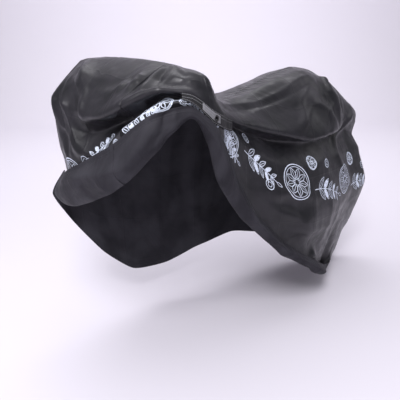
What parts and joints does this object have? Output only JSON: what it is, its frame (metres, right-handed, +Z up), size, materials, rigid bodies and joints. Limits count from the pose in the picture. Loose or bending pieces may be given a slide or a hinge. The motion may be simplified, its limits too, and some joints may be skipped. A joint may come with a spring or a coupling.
{
  "type": "bicycle cover",
  "caption": "Draped cloth cover, hung over a bicycle's handlebar, saddle and rear wheel, hollow and open below, with one side's hem turned up as a cuff and an eyelet in its strip.",
  "frame": {"origin": "centre of the handlebar that carries the cover, under its top, 1.07 m above the ground", "axes": "+X to the bicycle's rear, -Y to the side whose hem is turned up, +Z up"},
  "size_m": [1.6047, 0.7349, 1.0287],
  "materials": {
    "near_cloth": "dark grey coated polyester taffeta, semi-gloss, with a pale line print",
    "far_cloth": "dark grey coated polyester taffeta, semi-gloss",
    "strip_cloth": "doubled grey cloth with two rows of stitches",
    "ring_metal": "rolled eyelet with a black oxide finish"
  },
  "bodies": {
    "root": {"near_side_panel": "near_cloth", "far_side_panel": "far_cloth", "eyelet_strip": "strip_cloth", "eyelet_ring": "ring_metal"}
  },
  "joints": []
}
